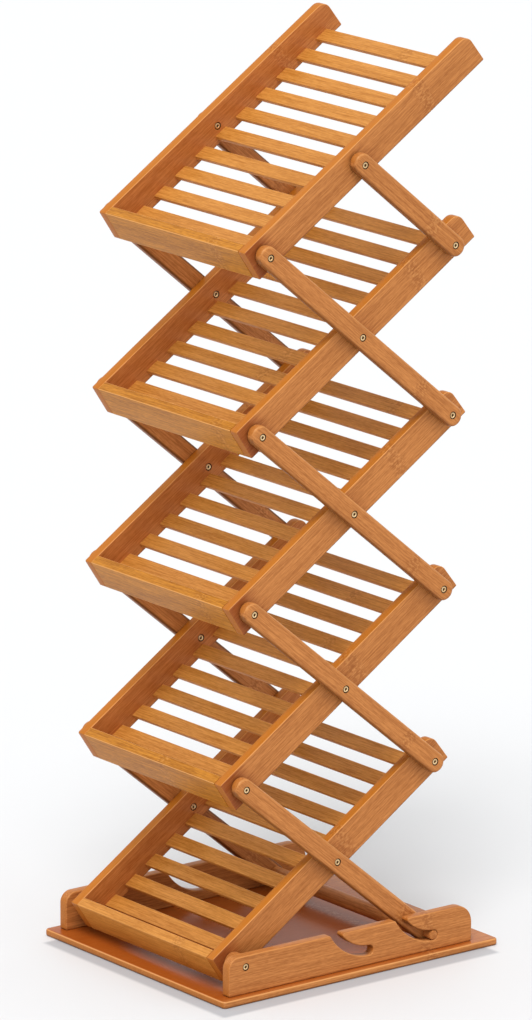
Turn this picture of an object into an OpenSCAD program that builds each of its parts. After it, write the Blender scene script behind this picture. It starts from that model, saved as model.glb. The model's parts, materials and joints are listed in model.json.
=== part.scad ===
// Folding brochure stand: five slatted trays on a scissor linkage, over a base with two locking notches.
// Millimetres. +X is the stand's right, +Y runs from the front lips to the back, +Z is up.
// The origin is the middle of the base plate's underside.

/* [Trays] */
// Width of a tray over its two rails
tray_w = 260; // [200:1:320]
// Thickness of a tray rail
rail_t = 12; // [10:0.5:16]
// Height of a tray rail
rail_h = 38; // [34:1:46]
// Height of the pivots above a rail's lower edge
pivot_up = 18; // [15:0.5:20]
// Length of a rail in front of its front pivot
rail_nose = 18; // [16:0.5:22]
// Length of a rail past its rear pivot
rail_tail = 22; // [18:0.5:30]
// Rounding of a rail's upper rear corner
rail_round = 12; // [4:0.5:16]
// How far a rail's rear end leans outwards over its height
rail_lean = 3; // [0:0.5:6]
// Easing of a rail's upper front corner
nose_round = 2; // [1:0.5:4]
// Thickness of the front lip
lip_t = 12; // [10:0.5:14]

/* [Slats] */
// Number of slats in a tray
slat_n = 10; // [4:1:10]
// Width of a slat
slat_w = 17.8; // [12:0.2:24]
// Thickness of a slat
slat_t = 5; // [4:0.5:6]
// Distance from one slat to the next
slat_pitch = 33.3; // [28:0.1:34]
// Upper edge of the lowest slat, from the front pivot
slat_start = 27.4; // [20:0.2:30]
// Underside of the slats above a rail's lower edge
slat_up = 5.5; // [3:0.5:8]
// Depth of the mortises that the slats sit in
slat_in = 5; // [3:0.5:7]

/* [Links] */
// Distance between neighbouring pivots on trays and links
arm = 162; // [150:1:180]
// The same distance at the top tray, which is shorter
top_arm = 152; // [140:1:160]
// Thickness of a link
link_t = 12; // [8:0.5:16]
// Width of a link
link_w = 23; // [20:0.5:26]
// Length of a link past its end pivots
link_tail = 14; // [13:0.5:18]
// Play between the rails and the links beside them
side_gap = 0.5; // [0.3:0.1:1]

/* [Stance] */
// Slope of the trays
tray_slope = 33.7; // [31:0.1:36]
// Slope of the links
link_slope = 39.8; // [38:0.1:42]

/* [Base] */
// How far the base plate stands out beside the base rails
plate_margin = 10; // [6:1:24]
// Depth of the base plate
plate_d = 380; // [374:1:420]
// Thickness of the base plate
plate_t = 8; // [6:0.5:16]
// Rounding of the base plate's corners
plate_round = 3; // [1:0.5:8]
// Front edge of the plate to the front pivot
pivot_in = 37; // [30:1:40]
// Height of the front pivot above the plate
pivot_z = 30.5; // [30:0.5:33]
// Thickness of a base rail
base_t = 12; // [10:0.5:16]
// Height of a base rail
base_h = 43; // [42:0.5:48]
// Length of a base rail in front of the front pivot
base_nose = 23; // [20:1:28]
// Length of a base rail behind the front pivot
base_tail = 313; // [306:1:320]
// Rounding of a base rail's upper front corner
base_nose_round = 13; // [4:1:18]
// Rounding of a base rail's upper rear corner
base_tail_round = 25; // [8:1:28]
// Distance between the two locking notches
notch_pitch = 90; // [78:1:94]
// Width of a notch
notch_w = 12; // [11.8:0.1:12.6]
// Radius of a notch's curved way in, along its middle
notch_sweep = 58; // [54:1:62]
// How far the sweep's centre lies in front of the seat
notch_lead = 3; // [0:0.5:5]
// Rounding of the hook above a notch
hook_round = 2.5; // [1:0.5:3]

/* [Crossbar and spacers] */
// Diameter of the crossbar between the links
bar_d = 17; // [14:0.5:18]
// Diameter of the crossbar's turned ends
tenon_d = 11.5; // [10:0.1:11.5]
// Diameter of the spacers at the front pivot
spacer_d = 23; // [16:0.5:26]

/* [Fasteners] */
// Diameter of the barrel nuts and of the bolt heads
barrel_d = 8; // [7:0.5:9]
// Diameter of the bolts' thread
thread_d = 6; // [4:0.5:6]
// Length of a bolt head
head_len = 6; // [5:0.5:7]
// Length of thread on a bolt
thread_len = 12.5; // [9:0.5:13]
// Width of the hexagon sockets across their flats
socket_af = 4; // [3:0.5:4]
// Depth of the hexagon sockets
socket_deep = 3; // [2:0.5:3]
// Space between a bolt head and its barrel nut
draw_gap = 1.5; // [1:0.5:2]
// Length of the wood screws under the base
screw_len = 25; // [18:1:28]
// Diameter of the wood screws
screw_d = 4; // [3:0.5:5]
// Diameter of their heads
screw_head_d = 8; // [7:0.5:9]
// Depth of their heads
screw_head_h = 3; // [2:0.5:4]
// Width of their drive sockets
drive_af = 3; // [2:0.5:4]
// Depth of their drive sockets
drive_deep = 2; // [1:0.5:3]
// Diameter of the dowels in a lip's ends
dowel_d = 6; // [5:0.5:8]
// Length of a dowel inside the lip
dowel_in_lip = 16; // [10:1:24]
// Length of a dowel inside the rail
dowel_in_rail = 8; // [6:0.5:9]

/* [Hidden] */
$fn = 64;

// Radial clearance of a pin in its bore
pin_fit = 0.05;
// Clearance round what is glued or screwed in place
seat_fit = 0.05;
// Clearance between the crossbar's moving ends and the base rails
parting = 0.3;
// How far a cutting shape runs past the face it cuts
over = 1;
// Steps in a rounded corner, and in a notch's seat and way in
round_steps = 8;
sweep_steps = 16;

// Layers from the middle of the stand outwards
rail_out = tray_w / 2;
rail_in = rail_out - rail_t;
link_in = rail_out + side_gap;
link_out = link_in + link_t;
base_in = link_out + side_gap;
base_out = base_in + base_t;
base_mid = (base_in + base_out) / 2;
plate_side = base_out + plate_margin;

// Tray sides: length of a rail, its edges about the pivot line, and where the lip and dowels lie
rail_end = 2 * arm + rail_tail;
rail_low = -pivot_up;
rail_high = rail_h - pivot_up;
lip_mid = -rail_nose + lip_t / 2;
dowel_ups = [rail_low + rail_h / 4, rail_high - rail_h / 4];

// Pivots of tray k, from its front pivot along its rail
function front_arm(k) = k == 5 ? top_arm : arm;
function rear_arm(k) = k == 4 ? top_arm : arm;
function pivots(k) = k == 5 ? [0, front_arm(k)] : [0, front_arm(k), front_arm(k) + rear_arm(k)];
// Bolted pivots of tray k: its front pivot belongs to the base where k is 1
function bolted(k) = [for (s = pivots(k)) if (k > 1 || s > 0) s];

// Directions of a tray and of a link, as [y, z]
tray_dir = [cos(tray_slope), sin(tray_slope)];
link_dir = [cos(link_slope), -sin(link_slope)];
// Front pivot of the lowest tray, and the step from one tray to the next
front_pivot = [pivot_in - plate_d / 2, plate_t + pivot_z];
tier = arm * (tray_dir - link_dir);
function tray_at(k) = front_pivot + (k - 1) * tier;
function link_at(k) = tray_at(k) + front_arm(k) * tray_dir;

// The lower pivot of the lowest link, where the crossbar lies in the rear notch
bar_at = link_at(1) + arm * link_dir;
function notch_at(i) = bar_at - [(1 - i) * notch_pitch, 0];
// Direction of the seat from the centre of its sweep
seat_dir = -acos(notch_lead / notch_sweep);
base_top = plate_t + base_h;
base_front = front_pivot[0] - base_nose;
base_rear = front_pivot[0] + base_tail;

// Screws through the plate into a base rail: two near its ends, one in front of each notch
screw_end_in = 14;
screw_nose_in = 34;
screw_notch_in = 10;
notch_drop = bar_at[1] - notch_sweep * sin(seat_dir) - base_top;
notch_reach = sqrt(pow(notch_sweep + notch_w / 2, 2) - pow(notch_drop, 2)) + notch_lead;
screw_ys = [
  base_front + screw_nose_in,
  notch_at(0)[0] - notch_reach - screw_notch_in,
  notch_at(1)[0] - notch_reach + notch_w / 2,
  base_rear - screw_end_in
];

// Pilot holes run a little past the screws' tips
pilot_extra = 1;

// Points of an arc about c, from angle a0 to a1
function arc(c, r, a0, a1, steps = round_steps) = [
  for (i = [0:steps]) let (a = a0 + (a1 - a0) * i / steps) c + r * [cos(a), sin(a)]
];

// Puts a part made for the right side on the right (side 1) or the left (side -1)
module on_side(side) {
  mirror([side < 0 ? 1 : 0, 0, 0]) children();
}

module both_sides() {
  for (side = [-1, 1]) on_side(side) children();
}

// Stands a flat [y, z] outline up and gives it a thickness from x0 to x1
module upright(x0, x1) {
  translate([x0, 0, 0]) rotate([90, 0, 90]) linear_extrude(x1 - x0) children();
}

// A round rod or bore across the stand, from x0 to x1 at [y, z]
module across(x0, x1, at, d) {
  translate([x0, at[0], at[1]]) rotate([0, 90, 0]) cylinder(h = x1 - x0, d = d);
}

// A hexagon socket sunk from x0 to x1
module socket(x0, x1, at) {
  translate([x0, at[0], at[1]]) rotate([0, 90, 0])
    cylinder(h = x1 - x0, d = socket_af / cos(30), $fn = 6);
}

// Places tray k's own frame: y along the tray from its front pivot, z square to it
module in_tray(k) {
  translate([0, tray_at(k)[0], tray_at(k)[1]]) rotate([tray_slope, 0, 0]) children();
}

// Places link k's own frame: y down the link from its middle pivot
module in_link(k) {
  translate([0, link_at(k)[0], link_at(k)[1]]) rotate([-link_slope, 0, 0]) children();
}

// Barrel nut, flush with the rail's inner face, for a stack that ends at x = outer
module barrel_nut(at, outer) {
  nut_end = outer - head_len - draw_gap;
  difference() {
    across(rail_in, nut_end, at, barrel_d);
    across(nut_end - thread_len, nut_end + over, at, thread_d + 2 * seat_fit);
    socket(rail_in - over, rail_in + socket_deep, at);
  }
}

// Bolt that is flush with the face at x = outer and screws into the barrel nut
module barrel_bolt(at, outer) {
  difference() {
    union() {
      across(outer - head_len, outer, at, barrel_d);
      across(outer - head_len - thread_len, outer - head_len, at, thread_d);
    }
    socket(outer - socket_deep, outer + over, at);
  }
}

module slat_block(i, fit) {
  translate([-rail_in - slat_in - fit, slat_start - slat_w + i * slat_pitch - fit, rail_low + slat_up - fit])
    cube([2 * (rail_in + slat_in + fit), slat_w + 2 * fit, slat_t + 2 * fit]);
}

module dowel(fit) {
  for (up = dowel_ups)
    across(rail_in - dowel_in_lip - fit, rail_in + dowel_in_rail + fit, [lip_mid, up], dowel_d + 2 * fit);
}

// Side outline of a tray rail, about its front pivot
module rail_outline() {
  lean_at = rail_end - rail_lean * (rail_h - rail_round) / rail_h;
  polygon(concat(
    [[-rail_nose, rail_low], [rail_end, rail_low]],
    arc([lean_at - rail_round, rail_high - rail_round], rail_round, 0, 90),
    arc([-rail_nose + nose_round, rail_high - nose_round], nose_round, 90, 180)
  ));
}

module tray_rail(k) {
  color("peru") difference() {
    upright(rail_in, rail_out) rail_outline();
    for (s = pivots(k)) across(rail_in - over, rail_out + over, [s, 0], barrel_d + 2 * pin_fit);
    for (i = [0:slat_n - 1]) slat_block(i, seat_fit);
    dowel(seat_fit);
  }
}

module lip() {
  color("peru") difference() {
    translate([-rail_in, -rail_nose, rail_low]) cube([2 * rail_in, lip_t, rail_h]);
    both_sides() dowel(seat_fit);
  }
}

module lip_dowels() {
  color("burlywood") both_sides() dowel(0);
}

module slats() {
  color("burlywood") for (i = [0:slat_n - 1]) slat_block(i, 0);
}

module tray_bolts(k) {
  color("darkgoldenrod") both_sides() for (s = bolted(k)) barrel_bolt([s, 0], link_out);
}

module tray_nuts(k) {
  color("darkgoldenrod") both_sides() for (s = bolted(k)) barrel_nut([s, 0], link_out);
}

// One side of link k, about its middle pivot; the top link has no half in front of it
module link(k) {
  ends = [k == 5 ? 0 : -arm, arm];
  stop = link_tail - link_w / 2;
  color("peru") difference() {
    upright(link_in, link_out) union() {
      polygon([
        [ends[0] - stop, -link_w / 2], [ends[1] + stop, -link_w / 2],
        [ends[1] + stop, link_w / 2], [ends[0] - stop, link_w / 2]
      ]);
      translate([ends[0] - stop, 0]) circle(d = link_w);
      translate([ends[1] + stop, 0]) circle(d = link_w);
    }
    across(link_in - over, link_out + over, [ends[0], 0], barrel_d + 2 * pin_fit);
    across(link_in - over, link_out + over, [0, 0], barrel_d + 2 * pin_fit);
    across(link_in - over, link_out + over, [ends[1], 0], (k == 1 ? tenon_d : barrel_d) + 2 * pin_fit);
  }
}

// Round bar between the lowest links; its turned ends stop short of the base rails
module crossbar() {
  color("sienna") {
    across(-link_in, link_in, bar_at, bar_d);
    both_sides() across(link_in, base_in - parting, bar_at, tenon_d);
  }
}

// The outermost part of the crossbar's ends, seated in the rear notches
module crossbar_ends() {
  color("sienna") both_sides() across(base_in, base_out, bar_at, tenon_d);
}

module base_plate() {
  corner = [plate_side - plate_round, plate_d / 2 - plate_round];
  color("chocolate") difference() {
    linear_extrude(plate_t) polygon(concat(
      arc(corner, plate_round, 0, 90),
      arc([-corner[0], corner[1]], plate_round, 90, 180),
      arc(-corner, plate_round, 180, 270),
      arc([corner[0], -corner[1]], plate_round, 270, 360)
    ));
    both_sides() for (y = screw_ys) screw(y, seat_fit);
  }
}

// Countersunk wood screw, point up, from under the plate into a base rail
module screw(y, fit) {
  translate([base_mid, y, 0]) {
    cylinder(h = screw_head_h, d1 = screw_head_d + 2 * fit, d2 = screw_d + 2 * fit);
    cylinder(h = screw_len + (fit > 0 ? pilot_extra : 0), d = screw_d + 2 * fit);
  }
}

module base_screws() {
  color("silver") both_sides() for (y = screw_ys) difference() {
    screw(y, 0);
    translate([base_mid, y, -over]) cylinder(h = over + drive_deep, d = drive_af / cos(30), $fn = 6);
  }
}

// A notch: a round seat, a curved way in from the rail's top edge in front of it, and the hook above
module notch(seat) {
  c = seat - notch_sweep * [cos(seat_dir), sin(seat_dir)];
  inner = notch_sweep - notch_w / 2;
  outer = notch_sweep + notch_w / 2;
  tip = c - [sqrt(pow(inner - hook_round, 2) - pow(notch_drop + hook_round, 2)), notch_drop + hook_round];
  tip_dir = atan2(tip[1] - c[1], tip[0] - c[0]);
  mouth_dir = -180 + asin(notch_drop / outer);
  polygon(concat(
    [[tip[0], base_top + over], [c[0] + outer * cos(mouth_dir), base_top + over]],
    arc(c, outer, mouth_dir, seat_dir, sweep_steps),
    arc(seat, notch_w / 2, seat_dir, seat_dir + 180, sweep_steps),
    arc(c, inner, seat_dir, tip_dir, sweep_steps),
    arc(tip, hook_round, tip_dir + 360, 90)
  ));
}

module base_rail() {
  color("peru") difference() {
    upright(base_in, base_out) difference() {
      polygon(concat(
        [[base_front, plate_t], [base_rear, plate_t]],
        arc([base_rear - base_tail_round, base_top - base_tail_round], base_tail_round, 0, 90),
        arc([base_front + base_nose_round, base_top - base_nose_round], base_nose_round, 90, 180)
      ));
      for (i = [0, 1]) notch(notch_at(i));
    }
    across(base_in - over, base_out + over, front_pivot, barrel_d + 2 * pin_fit);
    for (y = screw_ys) screw(y, seat_fit);
  }
}

module front_spacers() {
  color("peru") both_sides() difference() {
    across(link_in, link_out, front_pivot, spacer_d);
    across(link_in - over, link_out + over, front_pivot, barrel_d + 2 * pin_fit);
  }
}

module front_bolts() {
  color("darkgoldenrod") both_sides() barrel_bolt(front_pivot, base_out);
}

module front_nuts() {
  color("darkgoldenrod") both_sides() barrel_nut(front_pivot, base_out);
}

base_plate();
on_side(-1) base_rail();  // base_rail_left
on_side(1) base_rail();  // base_rail_right
base_screws();
front_spacers();
front_bolts();
front_nuts();
crossbar_ends();
crossbar();
for (k = [1:5]) {
  tray = str("tray_", k);
  in_tray(k) on_side(-1) tray_rail(k);
  in_tray(k) on_side(1) tray_rail(k);
  in_tray(k) lip();
  in_tray(k) lip_dowels();
  in_tray(k) slats();
  in_tray(k) tray_bolts(k);
  in_tray(k) tray_nuts(k);
  in_link(k) on_side(-1) link(k);
  in_link(k) on_side(1) link(k);
}
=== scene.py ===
# Folding brochure stand: lacquered bamboo trays on a scissor linkage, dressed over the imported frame.
import json
import math
import random

import bmesh
import bpy
from mathutils import Matrix, Vector


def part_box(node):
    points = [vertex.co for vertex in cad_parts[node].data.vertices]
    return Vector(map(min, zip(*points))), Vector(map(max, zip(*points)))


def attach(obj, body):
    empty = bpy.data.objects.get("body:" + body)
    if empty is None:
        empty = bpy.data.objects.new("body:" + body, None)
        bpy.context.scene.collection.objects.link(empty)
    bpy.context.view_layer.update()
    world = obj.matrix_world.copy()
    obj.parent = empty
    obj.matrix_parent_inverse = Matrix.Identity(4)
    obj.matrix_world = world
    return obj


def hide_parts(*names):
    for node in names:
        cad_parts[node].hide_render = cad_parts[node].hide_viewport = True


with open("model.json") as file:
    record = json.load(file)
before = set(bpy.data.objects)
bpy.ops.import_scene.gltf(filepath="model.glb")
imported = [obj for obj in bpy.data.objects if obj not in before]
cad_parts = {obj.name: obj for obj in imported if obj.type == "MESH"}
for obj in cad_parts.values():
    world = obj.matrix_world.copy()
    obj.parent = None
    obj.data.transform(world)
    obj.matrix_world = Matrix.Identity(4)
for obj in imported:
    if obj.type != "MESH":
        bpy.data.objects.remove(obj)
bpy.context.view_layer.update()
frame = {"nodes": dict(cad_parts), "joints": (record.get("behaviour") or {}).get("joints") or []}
scene = bpy.context.scene
mm = 0.001
quarter = math.pi / 2
noiseRoughness = 0.55
boardSeed = 16  # for the grain of each board and the turn of each bolt
print("frame loaded:", len(frame["nodes"]), "nodes")

# Where the pivots are, and the widths of the layers, all read from the frame
pivots = {joint["name"]: Vector(joint["pos_m"]) for joint in frame["joints"]}
trayNumbers = range(1, 6)
trayFront = {k: pivots["fold" if k == 1 else f"tray_{k}_turn"] for k in trayNumbers}
trayMiddle = {k: pivots[f"link_{k}_turn"] for k in trayNumbers}
rise = trayMiddle[1] - trayFront[1]
drop = trayMiddle[1] - trayFront[2]
arm = rise.length
topArm = (trayMiddle[5] - trayFront[5]).length
traySlope = math.atan2(rise.z, rise.y)
linkSlope = math.atan2(-drop.z, drop.y)
railInner, railOuter = (corner.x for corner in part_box("tray_1_rail_right"))
linkInner, linkOuter = (corner.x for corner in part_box("link_1_right"))
baseInner, baseOuter = (corner.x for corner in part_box("base_rail_right"))
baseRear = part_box("base_rail_right")[1].y
barCentre = trayMiddle[1] + arm * Vector((0, math.cos(linkSlope), -math.sin(linkSlope)))
sides = {"left": -1, "right": 1}
bolted = {1: [arm, 2 * arm], 2: [0, arm, 2 * arm], 3: [0, arm, 2 * arm],
          4: [0, arm, arm + topArm], 5: [0, topArm]}  # distances from the front pivot, along the rail


# Shader maths as plain expressions: a Wire is one output socket, and an operation on it adds a Math node
class Wire:
    def __init__(self, nodes, socket):
        self.nodes, self.socket = nodes, socket

    def maths(self, operation, *values):
        return self.nodes.add("ShaderNodeMath", dict(operation=operation), dict(enumerate(values)))

    def __add__(self, other):
        return self.maths("ADD", self, other)

    def __radd__(self, other):
        return self.maths("ADD", other, self)

    def __sub__(self, other):
        return self.maths("SUBTRACT", self, other)

    def __rsub__(self, other):
        return self.maths("SUBTRACT", other, self)

    def __mul__(self, other):
        return self.maths("MULTIPLY", self, other)

    def __rmul__(self, other):
        return self.maths("MULTIPLY", other, self)

    def __truediv__(self, other):
        return self.maths("DIVIDE", self, other)

    def __rtruediv__(self, other):
        return self.maths("DIVIDE", other, self)

    def __neg__(self):
        return self.maths("MULTIPLY", self, -1.0)

    def __abs__(self):
        return self.maths("ABSOLUTE", self)

    def floor(self):
        return self.maths("FLOOR", self)

    def sign(self):
        return self.maths("SIGN", self)

    def ramp(self, low, high):  # 0 before low, 1 past high, smooth between
        return self.nodes.add("ShaderNodeMapRange", dict(interpolation_type="SMOOTHSTEP"),
                              {"Value": self, "From Min": low, "From Max": high})


# A node tree, and the one method that puts any node in it: its settings first, then its sockets. It gives
# back the output that is asked for, or a list where that is a tuple.
class NodeMaker:
    def __init__(self, tree):
        self.tree = tree

    def add(self, kind, settings, inputs, output=0):
        node = self.tree.nodes.new(kind)
        for key, value in settings.items():
            setattr(node, key, value)
        for key, value in inputs.items():
            if isinstance(value, Wire):
                self.tree.links.new(value.socket, node.inputs[key])
            else:
                node.inputs[key].default_value = value
        if output is None:
            return None
        if isinstance(output, tuple):
            return [Wire(self, node.outputs[one]) for one in output]
        return Wire(self, node.outputs[output])

    def mix(self, factor, first, second):
        return self.add("ShaderNodeMix", dict(data_type="RGBA"), {0: factor, 6: first, 7: second}, output=2)

    def noise(self, spot, scale, detail):
        return self.add("ShaderNodeTexNoise", {}, {
            "Vector": spot, "Scale": scale, "Detail": detail, "Roughness": noiseRoughness})

    def bump(self, height, strength, distance):
        return self.add("ShaderNodeBump", {}, {"Height": height, "Strength": strength, "Distance": distance})

    def attribute(self, name):
        return self.add("ShaderNodeAttribute", dict(attribute_name=name), {}, output="Fac")

    def objectPlace(self):
        return self.add("ShaderNodeTexCoord", {}, {}, output="Object")

    def turned(self, vector, angles):
        return self.add("ShaderNodeMapping", dict(vector_type="POINT"),
                        {"Vector": vector, "Rotation": angles})

    def parts(self, vector, which=(0, 1, 2)):
        return self.add("ShaderNodeSeparateXYZ", {}, {0: vector}, output=which)


def newMaterial(name):
    material = bpy.data.materials.new(name)
    material.use_nodes = True
    material.node_tree.nodes.clear()
    return material, NodeMaker(material.node_tree)


def setSurface(nodes, inputs):
    surface = nodes.add("ShaderNodeBsdfPrincipled", {}, inputs)
    nodes.add("ShaderNodeOutputMaterial", {}, {"Surface": surface}, output=None)


# What all the bamboo shares; a finish names what it has otherwise. A share is how far a tone covers what is
# under it, and a pair is where something fades in: from its first value on, in full at its second.
bambooLook = dict(
    # layers of grain, as stretched noise: size, detail, the step that tells boards apart, how the noise is
    # spread into tones, and its weight in the tone
    fibres=dict(wide=1.3 * mm, long=48 * mm, detail=3.0, step=31.0, spread=(0.36, 0.64), weight=0.42),
    flecks=dict(wide=1.1 * mm, long=9 * mm, detail=1.0, step=47.0, spread=(0.36, 0.64), weight=0.26),
    streaks=dict(wide=6 * mm, long=150 * mm, detail=2.0, step=17.0, spread=(0.34, 0.68), weight=0.14),
    mottling=dict(wide=2.4 * mm, long=4.32 * mm, detail=3.0, step=23.0),
    stepAlong=1.7,                   # the step along the grain, against the one across it
    stripWide=19 * mm,               # boards are glued up from strips this wide
    stripDeep=6 * mm,                # and this thick, each with its own tone
    stripWeight=0.18,
    stripStart=0.37,
    stripStep=5.3,                   # a board's own number moves its strips by this
    layerStep=3.1,                   # and its layers by this
    stripKind=40.0,                  # and picks their tones
    glueLine=0.35 * mm,
    glueShare=0.2,
    knuckleLong=13 * mm,             # half length of the mottled patch at a culm's joint
    knuckleCore=4.55 * mm,           # the part of it that is mottled in full
    knuckleWave=6.5 * mm,
    ridgeLong=2.08 * mm,
    ridgeShare=0.1,
    darkSpots=(0.44, 0.6),
    darkSpotShare=0.38,
    paleSpots=(0.36, 0.5),
    paleSpotShare=0.22,
    roughness=0.38,
    roughnessSpread=0.08,
    specular=0.14,
    gloss=0.0,                       # a thicker lacquer
    glossSpecular=0.25,
    bump=0.06 * mm,
    bumpStrength=0.5,
    knuckleBump=0.8,
    topTone=None,                    # a deeper tone on faces that look up along local Z; on the plate it is painted shade under the trays
    topFrom=(0.5, 0.9),
    topShare=0.8,
    topMiddle=None,
    endTone=(0.42, 0.130, 0.012),    # lacquer soaked into the cut ends
    endFrom=(0.75, 0.95),
    endShare=0.55,
    edgeAxis=0,                      # the broad faces look along this axis, None for no painted highlight and shade on eased edges
    edgeLight=(0.78, 0.39, 0.135),   # a pale tone: the painted highlight along the upper eased edges, and the pale spots at a culm's joint
    lightEased=(0.35, 0.95),
    lightFrom=(0.1, 0.5),
    lightShare=0.6,
    edgeShade=(0.13, 0.040, 0.008),  # painted shade along the lower eased edges and on the faces under them
    shadeFrom=(0.1, 0.9),
    shadeBelow=(0.02, 0.3),
    shadeShare=0.6,
    shadeEnds=True,                  # whether it also covers cut ends that lean down
    creviceShare=0.0,                # painted shade: the dark line where a link lies against a rail
    creviceEased=(0.1, 0.8),
    creviceInward=(0.1, 0.5),
    innerTone=(0.44, 0.085, 0.006),  # painted shade: a deeper, redder tone on the sides that face the middle of the stand
    innerFrom=(0.6, 0.95),
    innerShare=0.0,
    linkTone=(0.18, 0.014, 0.001),   # a rail's front corner, in the shade of the link's head
    linkFrom=(24 * mm, -3 * mm),     # distances behind the front pivot
    linkOutward=(0.5, 0.9),
    linkShare=0.0,
    # painted shade inside the bores, in the gap round the bolt heads and nuts
    boreGrime=(0.030, 0.013, 0.005),
    boreShare=0.9,
)


# Lacquered bamboo whose grain runs along Y once the object is turned by the given angles
def bamboo(name, turn, **changes):
    look = {**bambooLook, **changes}
    material, nodes = newMaterial(name)
    place, normal = nodes.add("ShaderNodeTexCoord", {}, {}, output=("Object", "Normal"))
    across, along, deep = nodes.parts(nodes.turned(place, turn))
    lean = nodes.parts(nodes.turned(normal, turn))
    board = nodes.attribute("board")

    def grain(layer):
        step = board * layer["step"]
        spot = nodes.add("ShaderNodeCombineXYZ", {}, {
            0: across / layer["wide"] + step,
            1: along / layer["long"] + step * look["stepAlong"],
            2: deep / layer["wide"]})
        return nodes.noise(spot, 1.0, layer["detail"])

    layers = ("fibres", "flecks", "streaks", "mottling")
    fibres, flecks, streaks, mottling = (grain(look[layer]) for layer in layers)
    stripOf = deep / look["stripWide"] + board * look["stripStep"] + look["stripStart"]
    layerOf = across / look["stripDeep"] + board * look["layerStep"]
    strip = nodes.add("ShaderNodeCombineXYZ", {}, {
        0: stripOf.floor(), 1: layerOf.floor(), 2: board * look["stripKind"]})
    stripTone = nodes.add("ShaderNodeTexWhiteNoise", dict(noise_dimensions="3D"), {"Vector": strip},
                          output="Value")

    def weighed(noise, layer):
        return noise.ramp(*look[layer]["spread"]) * look[layer]["weight"]

    tone = (weighed(fibres, "fibres") + weighed(flecks, "flecks") + weighed(streaks, "streaks")
            + stripTone * look["stripWeight"])
    colour = nodes.mix(tone, (*look["dark"], 1), (*look["light"], 1))

    def cover(share, over):
        nonlocal colour
        colour = nodes.mix(share, colour, (*over, 1))

    # a deeper tone on faces that look up; on the plate it is painted shade from the trays above
    if look["topTone"]:
        cover(topCover(look, across, along, lean[2]), look["topTone"])

    # a culm's joint crosses the strips with a wavy ridge in a mottled patch
    distance = abs(along - nodes.attribute("knuckle") + (mottling - 0.5) * look["knuckleWave"])
    patch = 1.0 - distance.ramp(look["knuckleCore"], look["knuckleLong"])
    ridge = 1.0 - distance.ramp(0.0, look["ridgeLong"])
    cover(patch * mottling.ramp(*look["darkSpots"]) * look["darkSpotShare"] + ridge * look["ridgeShare"],
          look["knuckleTone"])
    cover(patch * (1.0 - mottling.ramp(*look["paleSpots"])) * look["paleSpotShare"], look["edgeLight"])
    fromGlue = 1.0 - 2.0 * abs(stripOf - stripOf.floor() - 0.5)  # 0 at a glue line, 1 in mid strip
    glue = 1.0 - fromGlue.ramp(0.0, 2.0 * look["glueLine"] / look["stripWide"])
    cover(glue * look["glueShare"], look["knuckleTone"])
    cover(abs(lean[1]).ramp(*look["endFrom"]) * look["endShare"], look["endTone"])

    if look["edgeAxis"] is not None:
        outward, upward = nodes.parts(normal, (0, 2))
        square = 1.0 - lean[look["edgeAxis"]] * lean[look["edgeAxis"]]  # 0 on the faces, 1 between them
        eased = square * (1.0 - square) * 4.0  # 1 halfway round an eased edge
        # painted highlight: the upper eased edges are lightened where light would catch them
        cover(eased.ramp(*look["lightEased"]) * upward.ramp(*look["lightFrom"]) * look["lightShare"],
              look["edgeLight"])
        # painted shade on what faces down: the lower eased edges and the undersides
        below = -upward if look["shadeEnds"] else -lean[2]
        cover(square.ramp(*look["shadeFrom"]) * below.ramp(*look["shadeBelow"]) * look["shadeShare"],
              look["edgeShade"])
        inward = -outward * nodes.parts(place)[0].sign()
        # painted shade in the crease where a link lies against a rail
        if look["creviceShare"]:
            touching = eased.ramp(*look["creviceEased"]) * inward.ramp(*look["creviceInward"])
            cover(touching * look["creviceShare"], look["edgeShade"])
        # painted shade on the sides that face the middle of the stand
        if look["innerShare"]:
            cover(inward.ramp(*look["innerFrom"]) * look["innerShare"], look["innerTone"])
        if look["linkShare"]:
            corner = (along - nodes.attribute("front")).ramp(*look["linkFrom"])
            cover(corner * (-inward).ramp(*look["linkOutward"]) * look["linkShare"], look["linkTone"])
    # painted shade inside the bores
    cover(nodes.attribute("bore") * look["boreShare"], look["boreGrime"])

    smoothest = look["roughness"] - look["gloss"] - look["roughnessSpread"] / 2
    relief = fibres + patch * mottling * look["knuckleBump"]
    setSurface(nodes, {
        "Base Color": colour,
        "Roughness": fibres * look["roughnessSpread"] + smoothest,
        "Normal": nodes.bump(relief, look["bumpStrength"], look["bump"]),
        "Specular IOR Level": look["specular"] + look["gloss"] * look["glossSpecular"]})
    return material


# The top tone's share; where there is a shaded middle, the painted shade fades to the least share beside and
# behind it
def topCover(look, across, along, up):
    share = up.ramp(*look["topFrom"]) * look["topShare"]
    if look["topMiddle"]:
        middle = look["topMiddle"]
        for distance, edge in ((abs(across), middle["half"]), (along, middle["rear"])):
            inside = distance.ramp(*edge)
            share = share * (inside * (1.0 - middle["least"]) + middle["least"])
    return share


metalLook = dict(
    brass=dict(light=(0.90, 0.67, 0.38), dark=(0.68, 0.44, 0.21)),
    zinc=dict(light=(0.56, 0.56, 0.57), dark=(0.34, 0.34, 0.35)),
    grime=(0.12, 0.060, 0.024),
    grimeDepth=0.55 * mm,  # painted shade begins this far below the wood's face: in the socket and on the head's sides
    grimeShare=0.62,
    markScale=2400.0,      # turning marks
    markDetail=2.0,
    markBump=0.05 * mm,
    markStrength=0.3,
    tarnishScale=160.0,
    tarnishDetail=3.0,
    tarnishSpread=(0.35, 0.75),
    roughness=0.34,
    roughnessSpread=0.14,
)


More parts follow.
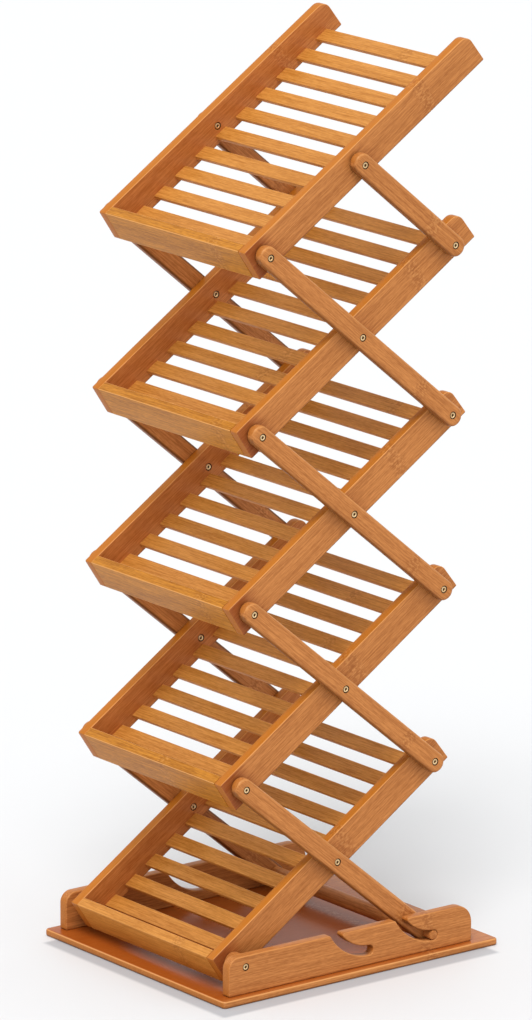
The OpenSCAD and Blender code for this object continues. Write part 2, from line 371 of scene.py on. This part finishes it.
# Plated metal with fine turning marks and a little tarnish, with painted shade where its "depth" attribute
# says it lies sunk
def plated(name, light, dark):
    look = metalLook
    material, nodes = newMaterial(name)
    place = nodes.objectPlace()
    marks = nodes.noise(place, look["markScale"], look["markDetail"])
    tarnish = nodes.noise(place, look["tarnishScale"], look["tarnishDetail"]).ramp(*look["tarnishSpread"])
    sunk = nodes.attribute("depth").ramp(look["grimeDepth"], 2 * look["grimeDepth"])
    colour = nodes.mix(tarnish, (*light, 1), (*dark, 1))
    # painted shade in the socket and on the sides below the wood's face
    colour = nodes.mix(sunk * look["grimeShare"], colour, (*look["grime"], 1))
    setSurface(nodes, {
        "Base Color": colour, "Metallic": 1.0,
        "Roughness": marks * look["roughnessSpread"] + look["roughness"],
        "Normal": nodes.bump(marks, look["markStrength"], look["markBump"])})
    return material


railTones = dict(light=(0.63, 0.249, 0.070), dark=(0.34, 0.108, 0.024), knuckleTone=(0.26, 0.072, 0.016))
slatTones = dict(light=(0.68, 0.296, 0.064), dark=(0.39, 0.134, 0.015), knuckleTone=(0.29, 0.090, 0.012))
lipTones = dict(light=(0.65, 0.264, 0.029), dark=(0.29, 0.091, 0.003), knuckleTone=(0.27, 0.080, 0.006))
underRails = dict(half=(baseOuter + 12 * mm, baseOuter - 2 * mm),
                  rear=(baseRear + 25 * mm, baseRear - 25 * mm), least=0.3)
alongTray = bamboo("bambooAlongTray", (-traySlope, 0, 0), topTone=(0.49, 0.152, 0.008), shadeShare=0.85,
                   shadeFrom=(0.0, 0.15), shadeEnds=False, endShare=0.8, innerShare=0.22, linkShare=0.58,
                   **railTones)
alongLink = bamboo("bambooAlongLink", (linkSlope, 0, 0), lightShare=0.3, creviceShare=0.8, **railTones)
alongBase = bamboo("bambooAlongBase", (0, 0, 0), lightShare=0.25, **railTones)
acrossTray = bamboo("bambooAcrossTray", (-traySlope, 0, quarter), **slatTones)
# the lips' painted highlight also covers their upper front edge
acrossLip = bamboo("bambooLip", (-traySlope, 0, quarter), lightShare=0.9, lightFrom=(-0.3, 0.05), **lipTones)
acrossBase = bamboo("bambooAcrossBase", (0, 0, quarter), edgeAxis=None, endShare=0.0, **railTones)
# the plate's top tone is painted shade from the trays above, lighter outside the base rails and behind them
plateFinish = bamboo("bambooPlate", (0, 0, 0), topTone=(0.34, 0.066, 0.004), topShare=0.84,
                     topMiddle=underRails, gloss=0.14, edgeAxis=2, **railTones)
brassFinish = plated("brassPlate", **metalLook["brass"])
zincFinish = plated("zincPlate", **metalLook["zinc"])
print("materials made")


# How finely round forms are cut, in degrees or in steps, and how near two points count as one
fineness = dict(arcStep=6, easeSteps=4, boreSides=36, creaseFrom=28, sameCorner=1e-4, samePoint=1e-6)
chance = random.Random(boardSeed)


def inTray(k):
    return Matrix.Translation(trayFront[k]) @ Matrix.Rotation(traySlope, 4, "X")


def inLink(k):
    return Matrix.Translation(trayMiddle[k]) @ Matrix.Rotation(-linkSlope, 4, "X")


def newObject(name, data):
    made = bpy.data.objects.new(name, data)
    scene.collection.objects.link(made)
    return made


# The points of a closed outline whose corners (y, z, radius) are rounded with true arcs, in millimetres
def roundedOutline(corners):
    points = []
    for i, (y, z, radius) in enumerate(corners):
        here = Vector((y, z))
        if radius == 0:
            points.append(here)
            continue
        back = (Vector(corners[i - 1][:2]) - here).normalized()
        ahead = (Vector(corners[(i + 1) % len(corners)][:2]) - here).normalized()
        half = back.angle(ahead) / 2
        centre = here + (back + ahead).normalized() * radius / math.sin(half)
        start = here + back * radius / math.tan(half) - centre
        turn = start.angle_signed(here + ahead * radius / math.tan(half) - centre)
        steps = max(3, math.ceil(abs(turn) / math.radians(fineness["arcStep"])))
        points += [centre + Matrix.Rotation(-turn * s / steps, 2) @ start for s in range(steps + 1)]
    apart = fineness["sameCorner"]
    return [p * mm for i, p in enumerate(points) if (p - points[i - 1]).length > apart]


# Points of an arc about a centre, in millimetres and degrees, as outline corners
def arcCorners(centre, radius, start, end, steps):
    angles = [math.radians(start + (end - start) * s / steps) for s in range(steps + 1)]
    return [(centre[0] + radius * math.cos(a), centre[1] + radius * math.sin(a), 0) for a in angles]


# A solid turned about X: the profile lists (x, radius) or (x, half width across flats, "hexagon"). The
# "depth" attribute is how far a point lies below x = 0.
def turnedMesh(profile, around):
    mesh = bmesh.new()
    rings = []
    for x, radius, *form in profile:
        if radius == 0:
            rings.append([mesh.verts.new((x * mm, 0, 0))])
            continue
        ring = []
        for s in range(around):
            angle = 2 * math.pi * s / around
            reach = radius * mm
            if form:
                reach /= math.cos((angle + math.pi / 6) % (math.pi / 3) - math.pi / 6)
            ring.append(mesh.verts.new((x * mm, reach * math.cos(angle), reach * math.sin(angle))))
        rings.append(ring)
    for first, second in zip(rings, rings[1:]):
        for s in range(around):
            t = (s + 1) % around
            corners = [first[s % len(first)], first[t % len(first)],
                       second[t % len(second)], second[s % len(second)]]
            mesh.faces.new(list(dict.fromkeys(corners)))
    bmesh.ops.recalc_face_normals(mesh, faces=mesh.faces)
    made = bpy.data.meshes.new("turned")
    mesh.to_mesh(made)
    mesh.free()
    layer = made.attributes.new("depth", "FLOAT", "POINT")
    layer.data.foreach_set("value", [-vertex.co.x for vertex in made.vertices])
    return made


# What the bamboo reads from a board: a number of its own, where its culm joint is along the grain, and where
# its front pivot is
def markBoard(mesh, knuckleAt, front=0.0):
    for name, value in (("board", chance.random()), ("knuckle", knuckleAt), ("front", front)):
        layer = mesh.attributes.new(name, "FLOAT", "POINT")
        layer.data.foreach_set("value", [value] * len(mesh.vertices))


def smoothBy(mesh, degrees):
    mesh.shade_smooth()
    mesh.set_sharp_from_angle(angle=math.radians(degrees))


# The outline moved inwards by a distance; its round corners are no tighter than that distance
def insetOutline(points, distance):
    area = sum(p.cross(q) for p, q in zip(points, points[1:] + points[:1]))
    moved = []
    for i, here in enumerate(points):
        back = (here - points[i - 1]).normalized()
        ahead = (points[(i + 1) % len(points)] - here).normalized()
        inward = Vector((-back.y - ahead.y, back.x + ahead.x)) * math.copysign(1, area)
        moved.append(here + inward * distance / (1 + back.dot(ahead)))
    return moved


# A board with eased edges: an outline in its side view, from x0 to x1, drilled at the bores
def boardMesh(outline, x0, x1, ease=0.0, bores=(), boreRadius=0.0, boreEase=0.25):
    angles = [2 * math.pi * s / fineness["boreSides"] for s in range(fineness["boreSides"])]
    circle = [Vector((math.cos(a), math.sin(a))) for a in angles]
    loops = [(outline, ease * mm)]
    for bore in bores:
        loops.append(([Vector(bore) + point * boreRadius * mm for point in circle], -boreEase * mm))
    steps = fineness["easeSteps"]
    turns = [math.radians(90 * step / steps) for step in range(steps + 1)] if ease else [quarter]
    mesh = bmesh.new()
    boreLayer = mesh.verts.layers.float.new("bore")
    ends = [[], []]
    for points, reach in loops:
        near, far = [], []
        for turn in turns:
            depth = abs(reach) * (1 - math.cos(turn)) if ease else 0
            moved = insetOutline(points, reach * (1 - math.sin(turn)))
            near.append([mesh.verts.new((x0 + depth, *p)) for p in moved])
            far.append([mesh.verts.new((x1 - depth, *p)) for p in moved])
            for vertex in near[-1] + far[-1]:
                vertex[boreLayer] = float(reach < 0 < turn)
        rings = near + far[::-1]
        for first, second in zip(rings, rings[1:]):
            for i in range(len(points)):
                mesh.faces.new((first[i - 1], first[i], second[i], second[i - 1]))
        for end, ring in zip(ends, (rings[0], rings[-1])):
            end += [mesh.edges.get((ring[i - 1], ring[i])) for i in range(len(ring))]
    for end, side in zip(ends, (-1, 1)):
        bmesh.ops.triangle_fill(mesh, use_beauty=True, edges=end, normal=(side, 0, 0))
    bmesh.ops.recalc_face_normals(mesh, faces=mesh.faces)
    for face in mesh.faces:
        face.smooth = True
    for edge in mesh.edges:
        edge.smooth = edge.calc_face_angle(0) < math.radians(fineness["creaseFrom"])
    for edge in ends[0] + ends[1]:
        edge.smooth = False
    made = bpy.data.meshes.new("board")
    mesh.to_mesh(made)
    mesh.free()
    return made


# Puts a finished mesh on its body, in place of the CAD nodes that it stands for
def dress(name, mesh, place, material, body, slot, *nodes):
    mesh.transform(place)
    mesh.materials.clear()
    mesh.materials.append(material)
    piece = newObject(name, mesh)
    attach(piece, body)
    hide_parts(*nodes)


# Tray rails, in millimetres about the front pivot; the knuckles are one for each tray
railShape = dict(nose=18, tail=22, low=-18, high=20, lowRound=1.5, noseRound=2, tailRound=12, lean=3,
                 ease=1.2, boreRadius=4.1, knuckleAt=[187, 190, 243, 260, 261])


def makeTrayRails():
    s = railShape
    end = 2 * arm / mm + s["tail"]
    outline = roundedOutline([
        (-s["nose"], s["low"], s["lowRound"]), (end, s["low"], s["lowRound"]),
        (end - s["lean"], s["high"], s["tailRound"]), (-s["nose"], s["high"], s["noseRound"])])
    for k in trayNumbers:
        holes = [(along, 0) for along in dict.fromkeys([0, *bolted[k]])]
        front = trayFront[k].y * math.cos(traySlope) + trayFront[k].z * math.sin(traySlope)
        for side, sign in sides.items():
            faces = sorted((sign * railInner, sign * railOuter))
            mesh = boardMesh(outline, *faces, s["ease"], holes, s["boreRadius"])
            markBoard(mesh, front + s["knuckleAt"][k - 1] * mm, front)
            dress(f"tray{k}Rail.{side}", mesh, inTray(k), alongTray, f"tray_{k}", "bamboo_rails",
                  f"tray_{k}_rail_{side}")


# Lips, between the rails' front ends; the lowest one has the slats' tone
lipShape = dict(front=-18, back=-6, low=-18, high=20, round=1.3, knuckleAt=[62, 20, 75, 90, 70])


def makeLips():
    s = lipShape
    outline = roundedOutline([(s["front"], s["low"], s["round"]), (s["back"], s["low"], s["round"]),
                              (s["back"], s["high"], s["round"]), (s["front"], s["high"], s["round"])])
    for k in trayNumbers:
        mesh = boardMesh(outline, -railInner, railInner)
        markBoard(mesh, s["knuckleAt"][k - 1] * mm)
        finish = acrossLip if k > 1 else acrossTray
        dress(f"tray{k}Lip", mesh, inTray(k), finish, f"tray_{k}", "bamboo_rails", f"tray_{k}_lip")


# Links, with fully rounded ends; the lowest ones hold the crossbar's ends and have no bolts there
linkShape = dict(width=23, tail=14, ease=3.6, endSteps=28, boreRadius=4.1,
                 knuckleAt=[120, 112, 108, 105, 122])


def makeLinks():
    s = linkShape
    half = s["width"] / 2
    for k in trayNumbers:
        front = 0 if k == 5 else -arm / mm
        outline = roundedOutline(
            arcCorners((front - s["tail"] + half, 0), half, 90, 270, s["endSteps"])
            + arcCorners((arm / mm + s["tail"] - half, 0), half, -90, 90, s["endSteps"]))
        holes = [(front * mm, 0), (0, 0)] + ([(arm, 0)] if k > 1 else [])
        start = trayMiddle[k].y * math.cos(linkSlope) - trayMiddle[k].z * math.sin(linkSlope)
        for side, sign in sides.items():
            faces = sorted((sign * linkInner, sign * linkOuter))
            mesh = boardMesh(outline, *faces, s["ease"], list(dict.fromkeys(holes)), s["boreRadius"])
            markBoard(mesh, start + s["knuckleAt"][k - 1] * mm)
            dress(f"link{k}.{side}", mesh, inLink(k), alongLink, f"link_{k}", "bamboo_rails",
                  f"link_{k}_{side}")


# Base rails with their two locking notches, in millimetres about the front pivot. A notch sweeps back from
# its mouth to its seat about a centre above and in front of it, and a hook hangs over the seat.
baseRailShape = dict(nose=23, tail=313, high=43, pivotHigh=30.5, lowRound=2, noseRound=13, tailRound=21,
                     ease=1.5, notchPitch=90, notchWide=11.4, sweep=58, lead=-2, hookRound=2.8, mouthRound=3,
                     mouthClear=4, sweepSteps=24, seatSteps=20, hookSteps=10, boreRadius=4.1, knuckleAt=250)


def notchCorners(seat, top):
    s = baseRailShape
    toSeat = -math.degrees(math.acos(s["lead"] / s["sweep"]))
    centre = seat - s["sweep"] * Vector((math.cos(math.radians(toSeat)), math.sin(math.radians(toSeat))))
    inner, outer = s["sweep"] - s["notchWide"] / 2, s["sweep"] + s["notchWide"] / 2
    below = centre.y - top
    tip = centre - Vector((math.sqrt((inner - s["hookRound"]) ** 2 - (below + s["hookRound"]) ** 2),
                           below + s["hookRound"]))
    toTip = math.degrees(math.atan2(tip.y - centre.y, tip.x - centre.x))
    toMouth = -180 + math.degrees(math.asin(below / outer))
    mouth = (centre.x + outer * math.cos(math.radians(toMouth)), top, s["mouthRound"])
    return ([mouth] + arcCorners(centre, outer, toMouth + s["mouthClear"], toSeat, s["sweepSteps"])
            + arcCorners(seat, s["notchWide"] / 2, toSeat, toSeat + 180, s["seatSteps"])[1:-1]
            + arcCorners(centre, inner, toSeat, toTip, s["sweepSteps"])
            + arcCorners(tip, s["hookRound"], toTip + 360, 90, s["hookSteps"])[1:])


def makeBaseRails():
    s = baseRailShape
    bottom = -s["pivotHigh"]
    top = s["high"] - s["pivotHigh"]
    seat = Vector((barCentre.y - trayFront[1].y, barCentre.z - trayFront[1].z)) / mm
    corners = [(-s["nose"], bottom, s["lowRound"]), (-s["nose"], top, s["noseRound"])]
    for i in (1, 0):
        corners += notchCorners(seat - Vector((i * s["notchPitch"], 0)), top)
    corners += [(s["tail"], top, s["tailRound"]), (s["tail"], bottom, s["lowRound"])]
    outline = roundedOutline(corners)
    for side, sign in sides.items():
        faces = sorted((sign * baseInner, sign * baseOuter))
        mesh = boardMesh(outline, *faces, s["ease"], [(0, 0)], s["boreRadius"])
        markBoard(mesh, trayFront[1].y + s["knuckleAt"] * mm)
        dress(f"baseRail.{side}", mesh, Matrix.Translation(trayFront[1]), alongBase, "base", "bamboo_rails",
              f"base_rail_{side}")


# Base plate, made as a board on its side and laid flat
plateShape = dict(cornerRound=5, ease=2.2, knuckleAt=250)


def makePlate():
    s = plateShape
    low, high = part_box("base_plate")
    ends = [(low.y / mm, -1), (high.y / mm, -1), (high.y / mm, 1), (low.y / mm, 1)]
    outline = roundedOutline([(y, side * high.x / mm, s["cornerRound"]) for y, side in ends])
    mesh = boardMesh(outline, low.z, high.z, s["ease"])
    flat = Matrix(((0, 0, -1, 0), (0, 1, 0, 0), (1, 0, 0, 0), (0, 0, 0, 1)))
    markBoard(mesh, trayFront[1].y + s["knuckleAt"] * mm)
    dress("basePlate", mesh, flat, plateFinish, "base", "bamboo_base", "base_plate")


# The crossbar, in one piece with its thinner ends
barShape = dict(radius=8.5, endRadius=5.4, shoulder=0.8, endRound=1.0, roundMiddle=0.3, around=48, crease=30)
noKnuckle = 400 * mm  # past the ends of the turned pieces, so no culm joint shows on them


def makeCrossbar():
    s = barShape
    inner, outer = linkInner / mm, baseOuter / mm
    middle = s["endRound"] * s["roundMiddle"]
    half = [(inner - s["shoulder"], s["radius"]), (inner, s["radius"] - s["shoulder"]),
            (inner, s["endRadius"]), (outer - s["endRound"], s["endRadius"]),
            (outer - middle, s["endRadius"] - middle), (outer, s["endRadius"] - s["endRound"]), (outer, 0)]
    mesh = turnedMesh([(-x, r) for x, r in reversed(half)] + half, s["around"])
    smoothBy(mesh, s["crease"])
    markBoard(mesh, noKnuckle)
    dress("crossbarTurned", mesh, Matrix.Translation(barCentre), acrossBase, "link_1", "bamboo_rails",
          "crossbar", "crossbar_ends")


# Front spacers, between the base rails and the lowest tray
spacerShape = dict(radius=11.5, boreRadius=4.0, round=1.6, roundAt=(0, 30, 60, 90), around=48, crease=30)


def makeSpacers():
    s = spacerShape
    wide = (linkOuter - linkInner) / mm
    profile = [(0, s["boreRadius"])]
    for angle in (math.radians(degrees) for degrees in s["roundAt"]):
        profile.append((s["round"] * (1 - math.cos(angle)), s["radius"] - s["round"] * (1 - math.sin(angle))))
    profile += [(wide - x, r) for x, r in reversed(profile)] + [(0, s["boreRadius"])]
    pair = bmesh.new()
    for sign in sides.values():
        one = turnedMesh(profile, s["around"])
        one.transform(Matrix.Translation((linkInner if sign > 0 else -linkOuter, 0, 0)))
        pair.from_mesh(one)
        bpy.data.meshes.remove(one)
    bmesh.ops.remove_doubles(pair, verts=pair.verts, dist=fineness["samePoint"])
    bmesh.ops.recalc_face_normals(pair, faces=pair.faces)
    mesh = bpy.data.meshes.new("spacers")
    pair.to_mesh(mesh)
    pair.free()
    smoothBy(mesh, s["crease"])
    markBoard(mesh, noKnuckle)
    dress("frontSpacers", mesh, Matrix.Translation(trayFront[1]), acrossBase, "base", "bamboo_rails",
          "front_spacers")


# Geometry Nodes: a tree with named inputs, and its end
def newTree(name, inputs):
    tree = bpy.data.node_groups.new(name, "GeometryNodeTree")
    tree.interface.new_socket("Geometry", in_out="INPUT", socket_type="NodeSocketGeometry")
    for label, kind in inputs.items():
        tree.interface.new_socket(label, in_out="INPUT", socket_type="NodeSocket" + kind)
    tree.interface.new_socket("Geometry", in_out="OUTPUT", socket_type="NodeSocketGeometry")
    nodes = NodeMaker(tree)
    labels = ("Geometry", *inputs)
    return nodes, dict(zip(labels, nodes.add("NodeGroupInput", {}, {}, output=labels)))


def endTree(nodes, copies, finish):
    real = nodes.add("GeometryNodeRealizeInstances", {}, {"Geometry": copies})
    dressed = nodes.add("GeometryNodeSetMaterial", {}, {"Geometry": real, "Material": finish})
    nodes.add("NodeGroupOutput", {}, {"Geometry": dressed}, output=None)
    return nodes.tree


# Runs a tree on a mesh and gives the plain mesh that comes out
def grow(tree, mesh, values):
    host = newObject("host", mesh)
    modifier = host.modifiers.new("grow", "NODES")
    modifier.node_group = tree
    for item in tree.interface.items_tree:
        if item.in_out == "INPUT" and item.name in values:
            modifier[item.identifier] = values[item.name]
    made = bpy.data.meshes.new_from_object(host.evaluated_get(bpy.context.evaluated_depsgraph_get()))
    host.modifiers.clear()
    bpy.data.objects.remove(host)
    return made


# Slats in a row up the tray, each with its own grain and now and then a culm joint
slatShape = dict(count=10, width=17.8, thick=5, pitch=33.3, first=9.6, under=-12.5, inRail=5, round=1.1,
                 knuckleReach=0.5, seed=11, knuckleSeed=7.0)


def slatRowTree():
    nodes, given = newTree("slatRow", {"Slat": "Object", "Count": "Int", "Pitch": "Float", "Seed": "Int",
                                       "Knuckle reach": "Float", "Finish": "Material"})
    step = nodes.add("ShaderNodeCombineXYZ", {}, {1: given["Pitch"]})
    row = nodes.add("GeometryNodeMeshLine", dict(mode="OFFSET"), {"Count": given["Count"], "Offset": step})
    slat = nodes.add("GeometryNodeObjectInfo", {}, {"Object": given["Slat"]}, output="Geometry")
    copies = nodes.add("GeometryNodeInstanceOnPoints", {}, {"Points": row, "Instance": slat})

    def random01(seed):
        return nodes.add("FunctionNodeRandomValue", dict(data_type="FLOAT"), {"Seed": seed}, output=1)

    joint = random01(given["Seed"] + slatShape["knuckleSeed"]) * given["Knuckle reach"]
    for name, value in (("board", random01(given["Seed"])), ("knuckle", joint)):
        copies = nodes.add("GeometryNodeStoreNamedAttribute", dict(data_type="FLOAT", domain="INSTANCE"),
                           {"Geometry": copies, "Name": name, "Value": value})
    return endTree(nodes, copies, given["Finish"])


def makeSlats():
    s = slatShape
    tree = slatRowTree()
    back, top = s["first"] + s["width"], s["under"] + s["thick"]
    outline = roundedOutline([(s["first"], s["under"], s["round"]), (back, s["under"], s["round"]),
                              (back, top, s["round"]), (s["first"], top, s["round"])])
    end = railInner + s["inRail"] * mm
    one = newObject("slat", boardMesh(outline, -end, end))
    for k in trayNumbers:
        mesh = grow(tree, bpy.data.meshes.new("empty"), {
            "Slat": one, "Count": s["count"], "Pitch": s["pitch"] * mm, "Seed": s["seed"] * k,
            "Knuckle reach": s["knuckleReach"], "Finish": acrossTray})
        dress(f"tray{k}Slats", mesh, inTray(k), acrossTray, f"tray_{k}", "bamboo_slats", f"tray_{k}_slats")
    bpy.data.objects.remove(one)


# Bolts and barrel nuts: each point holds a fastener, turned by the vector stored on it
def fastenerTree():
    nodes, given = newTree("fasteners", {"Fastener": "Object", "Finish": "Material"})
    turn = nodes.add("GeometryNodeInputNamedAttribute", dict(data_type="FLOAT_VECTOR"), {"Name": "turn"})
    shape = nodes.add("GeometryNodeObjectInfo", {}, {"Object": given["Fastener"]}, output="Geometry")
    copies = nodes.add("GeometryNodeInstanceOnPoints", {}, {
        "Points": given["Geometry"], "Instance": shape, "Rotation": turn})
    return endTree(nodes, copies, given["Finish"])


def pointsMesh(places):
    mesh = bpy.data.meshes.new("points")
    mesh.from_pydata([place for place, turn in places], [], [])
    layer = mesh.attributes.new("turn", "FLOAT_VECTOR", "POINT")
    layer.data.foreach_set("vector", [value for place, turn in places for value in turn])
    return mesh


boltShape = dict(radius=3.3, sunk=0.25, chamfer=0.5, chamferMiddle=(0.15, 0.175), headLong=6,
                 threadRadius=3, threadLong=12.5, nutLong=17, frontNutLong=29.5,
                 socketHalf=1.5, socketDeep=3, socketMouth=0.35, socketBevel=0.3, socketPoint=0.6,
                 around=36, crease=35)


# Head profile shared by bolts and nuts: outer face near x = 0, the body towards -x
def headProfile(length):
    s = boltShape
    face = -s["sunk"]
    back, inside = s["chamferMiddle"]
    return [(-length, s["radius"]), (face - s["chamfer"], s["radius"]),
            (face - back, s["radius"] - inside), (face, s["radius"] - s["chamfer"]),
            (face, s["socketHalf"] + s["socketMouth"]), (face - s["socketBevel"], s["socketHalf"], "hexagon"),
            (-s["socketDeep"], s["socketHalf"], "hexagon"), (-s["socketDeep"] - s["socketPoint"], 0)]


def makeFasteners():
    s = boltShape
    tree = fastenerTree()
    shank = -s["headLong"] - s["threadLong"]
    thread = [(shank, 0), (shank, s["threadRadius"]), (-s["headLong"], s["threadRadius"])]
    shapes = {"bolt": thread + headProfile(s["headLong"]),
              "nut": [(-s["nutLong"], 0)] + headProfile(s["nutLong"]),
              "frontNut": [(-s["frontNutLong"], 0)] + headProfile(s["frontNutLong"])}
    made = {name: newObject(name, turnedMesh(profile, s["around"])) for name, profile in shapes.items()}
    for shape in made.values():
        smoothBy(shape.data, s["crease"])

    def place(name, fastener, x, spots, where, body, node, outward):
        places = []
        for sign in sides.values():
            turn = 0 if sign * outward > 0 else math.pi
            places += [((sign * x, along, 0), (chance.random(), 0, turn)) for along in spots]
        mesh = grow(tree, pointsMesh(places), {"Fastener": made[fastener], "Finish": brassFinish})
        dress(name, mesh, where, brassFinish, body, "brass", node)

    front = Matrix.Translation(trayFront[1])
    place("frontBolts", "bolt", baseOuter, [0], front, "base", "front_bolts", 1)
    place("frontNuts", "frontNut", railInner, [0], front, "base", "front_nuts", -1)
    for k in trayNumbers:
        place(f"tray{k}Bolts", "bolt", linkOuter, bolted[k], inTray(k), f"tray_{k}", f"tray_{k}_bolts", 1)
        place(f"tray{k}Nuts", "nut", railInner, bolted[k], inTray(k), f"tray_{k}", f"tray_{k}_nuts", -1)
    for shape in made.values():
        bpy.data.objects.remove(shape)


# CAD nodes that stay as they are: the dowels inside, and the screws under the plate
def finishHidden():
    for name, node in frame["nodes"].items():
        if not node.hide_render:
            finish = zincFinish if name == "base_screws" else acrossTray
            node.data.materials.clear()
            node.data.materials.append(finish)


makeTrayRails()
makeLips()
makeLinks()
print("tray rails, lips and links made")
makeBaseRails()
makePlate()
makeCrossbar()
makeSpacers()
print("base and crossbar made")
makeSlats()
makeFasteners()
finishHidden()
print("slats and fasteners made")


# Studio: a pale floor, a bright room and one broad soft light from above, a little to the front right. The
# contact shadow is soft and has the plate's own shape, moved a little.
studio = dict(floorSize=30.0, floorTone=(0.752, 0.761, 0.772), floorRoughness=0.6, roomStrength=0.82,
              contactTone=(0.48, 0.495, 0.52), contactShift=(22 * mm, -17 * mm), contactEdge=8 * mm,
              keyFrom=(0.35, -0.35, 0.87), keyStrength=1.92, keySpread=25.0)


def makeFloor():
    s = studio
    bpy.ops.mesh.primitive_plane_add(size=s["floorSize"], location=(0, 0, 0))
    floor = bpy.context.object
    floor.name = "floor"
    material, nodes = newMaterial("paleFloor")
    shadow = 1.0
    spot = nodes.parts(nodes.objectPlace(), (0, 1))
    for along, shift, half in zip(spot, s["contactShift"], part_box("base_plate")[1]):
        past = abs(along - shift) - (half - s["contactEdge"] / 2)
        shadow = past.ramp(s["contactEdge"], 0.0) * shadow
    tone = nodes.mix(shadow, (*s["floorTone"], 1), (*s["contactTone"], 1))
    setSurface(nodes, {"Base Color": tone, "Roughness": s["floorRoughness"]})
    floor.data.materials.append(material)


def makeLight():
    s = studio
    world = bpy.data.worlds.new("room")
    world.use_nodes = True
    room = world.node_tree.nodes["Background"].inputs
    room["Color"].default_value = (1, 1, 1, 1)
    room["Strength"].default_value = s["roomStrength"]
    scene.world = world
    light = bpy.data.lights.new("key", "SUN")
    light.energy, light.angle = s["keyStrength"], math.radians(s["keySpread"])
    lamp = newObject("key", light)
    lamp.rotation_euler = Vector(s["keyFrom"]).to_track_quat("Z", "Y").to_euler()
    scene.view_settings.view_transform = "Standard"


# Camera as the photograph was taken: far off with a long lens
photoCamera = dict(place=(6.3019, -4.8440, 2.5515), azimuth=52.5, elevation=14.53, roll=0.14, lens=265.8,
                   sensor=36.0, near=0.1, far=100.0)


def makeCamera():
    a, e, r = (math.radians(photoCamera[key]) for key in ("azimuth", "elevation", "roll"))
    forward = Vector((-math.sin(a) * math.cos(e), math.cos(a) * math.cos(e), -math.sin(e)))
    level = Vector((math.cos(a), math.sin(a), 0))
    upright = level.cross(forward)
    right = level * math.cos(r) + upright * math.sin(r)
    up = upright * math.cos(r) - level * math.sin(r)
    data = bpy.data.cameras.new("camera")
    data.sensor_width, data.lens = photoCamera["sensor"], photoCamera["lens"]
    data.clip_start, data.clip_end = photoCamera["near"], photoCamera["far"]
    camera = newObject("camera", data)
    turned = Matrix((right, up, -forward)).transposed().to_4x4()
    camera.matrix_world = Matrix.Translation(photoCamera["place"]) @ turned
    scene.camera = camera


makeFloor()
makeLight()
makeCamera()
print("studio and camera made")
